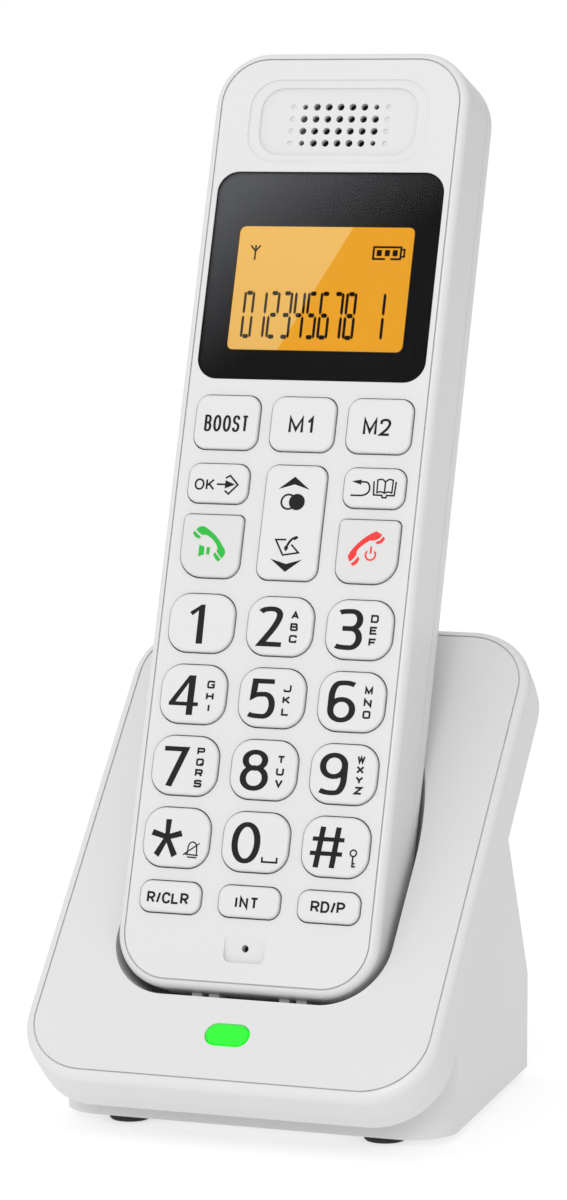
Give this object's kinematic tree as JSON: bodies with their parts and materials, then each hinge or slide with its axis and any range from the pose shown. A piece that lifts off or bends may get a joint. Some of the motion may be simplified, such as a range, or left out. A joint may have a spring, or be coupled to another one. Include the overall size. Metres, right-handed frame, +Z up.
{
  "type": "cordless phone with base",
  "caption": "Big-button cordless handset docked upright in a sloping charging base with a green charge lamp.",
  "frame": {"origin": "on the ground under the middle of the docked phone's bounding box", "axes": "+Z up, -Y towards the user who faces the keypad, +X to the user's right"},
  "size_m": [0.0772, 0.0866, 0.1902],
  "materials": {
    "shell_white": "satin, finely polished",
    "key_white": "satin",
    "key_pale": "satin",
    "lens_clear": "polished",
    "mask_black": "gloss",
    "display_amber": "gloss",
    "diffuser_white": "matte",
    "silicone_grey": "matte",
    "board_green": "satin",
    "plastic_black": "matte",
    "cell_jacket": "gloss",
    "nickel": "bright",
    "contact_brass": "bright",
    "screw_steel": "satin",
    "foot_rubber": "matte",
    "lamp_green": "diffusing",
    "led_clear": "clear"
  },
  "bodies": {
    "base": {"cradle_top_shell": "shell_white", "base_lower_shell": "shell_white", "rubber_feet": "foot_rubber", "indicator_lens": "lamp_green", "indicator_led": "led_clear", "indicator_board": "board_green", "pin_holder": "plastic_black", "pin_spring_left": "nickel", "pin_spring_right": "nickel", "base_board": "board_green", "dc_jack": "plastic_black", "dc_jack_pin": "nickel", "line_socket": "plastic_black", "line_socket_contacts": "contact_brass", "base_screws": "screw_steel"},
    "handset": {"handset_front_shell": "shell_white", "handset_back_shell": "shell_white", "display_lens": "lens_clear", "display_mask": "mask_black", "lcd_panel": "display_amber", "display_backlight": "diffuser_white", "keypad_mat": "silicone_grey", "handset_board": "board_green", "earpiece_speaker": "plastic_black", "ringer_speaker": "plastic_black", "microphone": "plastic_black", "battery_cells": "cell_jacket", "battery_plates": "nickel", "battery_springs": "nickel", "handset_charge_contacts": "nickel", "handset_screws": "screw_steel"},
    "battery_door": {"battery_door": "shell_white"},
    "charge_pin_left": {"charge_pin_left": "nickel"},
    "charge_pin_right": {"charge_pin_right": "nickel"},
    "key_nav": {"key_nav": "key_white"},
    "key_boost": {"key_boost": "key_white"},
    "key_m1": {"key_m1": "key_white"},
    "key_m2": {"key_m2": "key_white"},
    "key_ok": {"key_ok": "key_white"},
    "key_book": {"key_book": "key_white"},
    "key_talk": {"key_talk": "key_pale"},
    "key_end": {"key_end": "key_pale"},
    "key_1": {"key_1": "key_white"},
    "key_2": {"key_2": "key_white"},
    "key_3": {"key_3": "key_white"},
    "key_4": {"key_4": "key_white"},
    "key_5": {"key_5": "key_white"},
    "key_6": {"key_6": "key_white"},
    "key_7": {"key_7": "key_white"},
    "key_8": {"key_8": "key_white"},
    "key_9": {"key_9": "key_white"},
    "key_star": {"key_star": "key_white"},
    "key_0": {"key_0": "key_white"},
    "key_hash": {"key_hash": "key_white"},
    "key_recall": {"key_recall": "key_white"},
    "key_int": {"key_int": "key_white"},
    "key_redial": {"key_redial": "key_white"}
  },
  "joints": [
    {"name": "handset_lift", "type": "slide", "parent": "base", "child": "handset", "axis": [0, 0.3156, 0.9489], "range_m": [0, 0.09]},
    {"name": "battery_door_off", "type": "slide", "parent": "handset", "child": "battery_door", "axis": [0, 0.9489, -0.3156], "range_m": [0, 0.012]},
    {"name": "key_nav_rock", "type": "hinge", "parent": "handset", "child": "key_nav", "pos_m": [0, -0.0013, 0.10558], "axis": [1, 0, 0], "range_deg": [-3, 3], "stiffness_Nm_per_rad": 0.035},
    {"name": "charge_pin_left_travel", "type": "slide", "parent": "base", "child": "charge_pin_left", "axis": [0, 0.3156, 0.9489], "range_m": [-0.0008, 0], "stiffness_N_per_m": 300, "springref_m": 0.001, "deforming": ["pin_spring_left"]},
    {"name": "charge_pin_right_travel", "type": "slide", "parent": "base", "child": "charge_pin_right", "axis": [0, 0.3156, 0.9489], "range_m": [-0.0008, 0], "stiffness_N_per_m": 300, "springref_m": 0.001, "deforming": ["pin_spring_right"]},
    {"name": "key_boost_press", "type": "slide", "parent": "handset", "child": "key_boost", "axis": [0, 0.9489, -0.3156], "range_m": [0, 0.0007], "stiffness_N_per_m": 400, "springref_m": -0.0003},
    {"name": "key_m1_press", "type": "slide", "parent": "handset", "child": "key_m1", "axis": [0, 0.9489, -0.3156], "range_m": [0, 0.0007], "stiffness_N_per_m": 400, "springref_m": -0.0003},
    {"name": "key_m2_press", "type": "slide", "parent": "handset", "child": "key_m2", "axis": [0, 0.9489, -0.3156], "range_m": [0, 0.0007], "stiffness_N_per_m": 400, "springref_m": -0.0003},
    {"name": "key_ok_press", "type": "slide", "parent": "handset", "child": "key_ok", "axis": [0, 0.9489, -0.3156], "range_m": [0, 0.0007], "stiffness_N_per_m": 400, "springref_m": -0.0003},
    {"name": "key_book_press", "type": "slide", "parent": "handset", "child": "key_book", "axis": [0, 0.9489, -0.3156], "range_m": [0, 0.0007], "stiffness_N_per_m": 400, "springref_m": -0.0003},
    {"name": "key_talk_press", "type": "slide", "parent": "handset", "child": "key_talk", "axis": [0, 0.9489, -0.3156], "range_m": [0, 0.0007], "stiffness_N_per_m": 400, "springref_m": -0.0003},
    {"name": "key_end_press", "type": "slide", "parent": "handset", "child": "key_end", "axis": [0, 0.9489, -0.3156], "range_m": [0, 0.0007], "stiffness_N_per_m": 400, "springref_m": -0.0003},
    {"name": "key_1_press", "type": "slide", "parent": "handset", "child": "key_1", "axis": [0, 0.9489, -0.3156], "range_m": [0, 0.0007], "stiffness_N_per_m": 400, "springref_m": -0.0003},
    {"name": "key_2_press", "type": "slide", "parent": "handset", "child": "key_2", "axis": [0, 0.9489, -0.3156], "range_m": [0, 0.0007], "stiffness_N_per_m": 400, "springref_m": -0.0003},
    {"name": "key_3_press", "type": "slide", "parent": "handset", "child": "key_3", "axis": [0, 0.9489, -0.3156], "range_m": [0, 0.0007], "stiffness_N_per_m": 400, "springref_m": -0.0003},
    {"name": "key_4_press", "type": "slide", "parent": "handset", "child": "key_4", "axis": [0, 0.9489, -0.3156], "range_m": [0, 0.0007], "stiffness_N_per_m": 400, "springref_m": -0.0003},
    {"name": "key_5_press", "type": "slide", "parent": "handset", "child": "key_5", "axis": [0, 0.9489, -0.3156], "range_m": [0, 0.0007], "stiffness_N_per_m": 400, "springref_m": -0.0003},
    {"name": "key_6_press", "type": "slide", "parent": "handset", "child": "key_6", "axis": [0, 0.9489, -0.3156], "range_m": [0, 0.0007], "stiffness_N_per_m": 400, "springref_m": -0.0003},
    {"name": "key_7_press", "type": "slide", "parent": "handset", "child": "key_7", "axis": [0, 0.9489, -0.3156], "range_m": [0, 0.0007], "stiffness_N_per_m": 400, "springref_m": -0.0003},
    {"name": "key_8_press", "type": "slide", "parent": "handset", "child": "key_8", "axis": [0, 0.9489, -0.3156], "range_m": [0, 0.0007], "stiffness_N_per_m": 400, "springref_m": -0.0003},
    {"name": "key_9_press", "type": "slide", "parent": "handset", "child": "key_9", "axis": [0, 0.9489, -0.3156], "range_m": [0, 0.0007], "stiffness_N_per_m": 400, "springref_m": -0.0003},
    {"name": "key_star_press", "type": "slide", "parent": "handset", "child": "key_star", "axis": [0, 0.9489, -0.3156], "range_m": [0, 0.0007], "stiffness_N_per_m": 400, "springref_m": -0.0003},
    {"name": "key_0_press", "type": "slide", "parent": "handset", "child": "key_0", "axis": [0, 0.9489, -0.3156], "range_m": [0, 0.0007], "stiffness_N_per_m": 400, "springref_m": -0.0003},
    {"name": "key_hash_press", "type": "slide", "parent": "handset", "child": "key_hash", "axis": [0, 0.9489, -0.3156], "range_m": [0, 0.0007], "stiffness_N_per_m": 400, "springref_m": -0.0003},
    {"name": "key_recall_press", "type": "slide", "parent": "handset", "child": "key_recall", "axis": [0, 0.9489, -0.3156], "range_m": [0, 0.0007], "stiffness_N_per_m": 400, "springref_m": -0.0003},
    {"name": "key_int_press", "type": "slide", "parent": "handset", "child": "key_int", "axis": [0, 0.9489, -0.3156], "range_m": [0, 0.0007], "stiffness_N_per_m": 400, "springref_m": -0.0003},
    {"name": "key_redial_press", "type": "slide", "parent": "handset", "child": "key_redial", "axis": [0, 0.9489, -0.3156], "range_m": [0, 0.0007], "stiffness_N_per_m": 400, "springref_m": -0.0003}
  ]
}
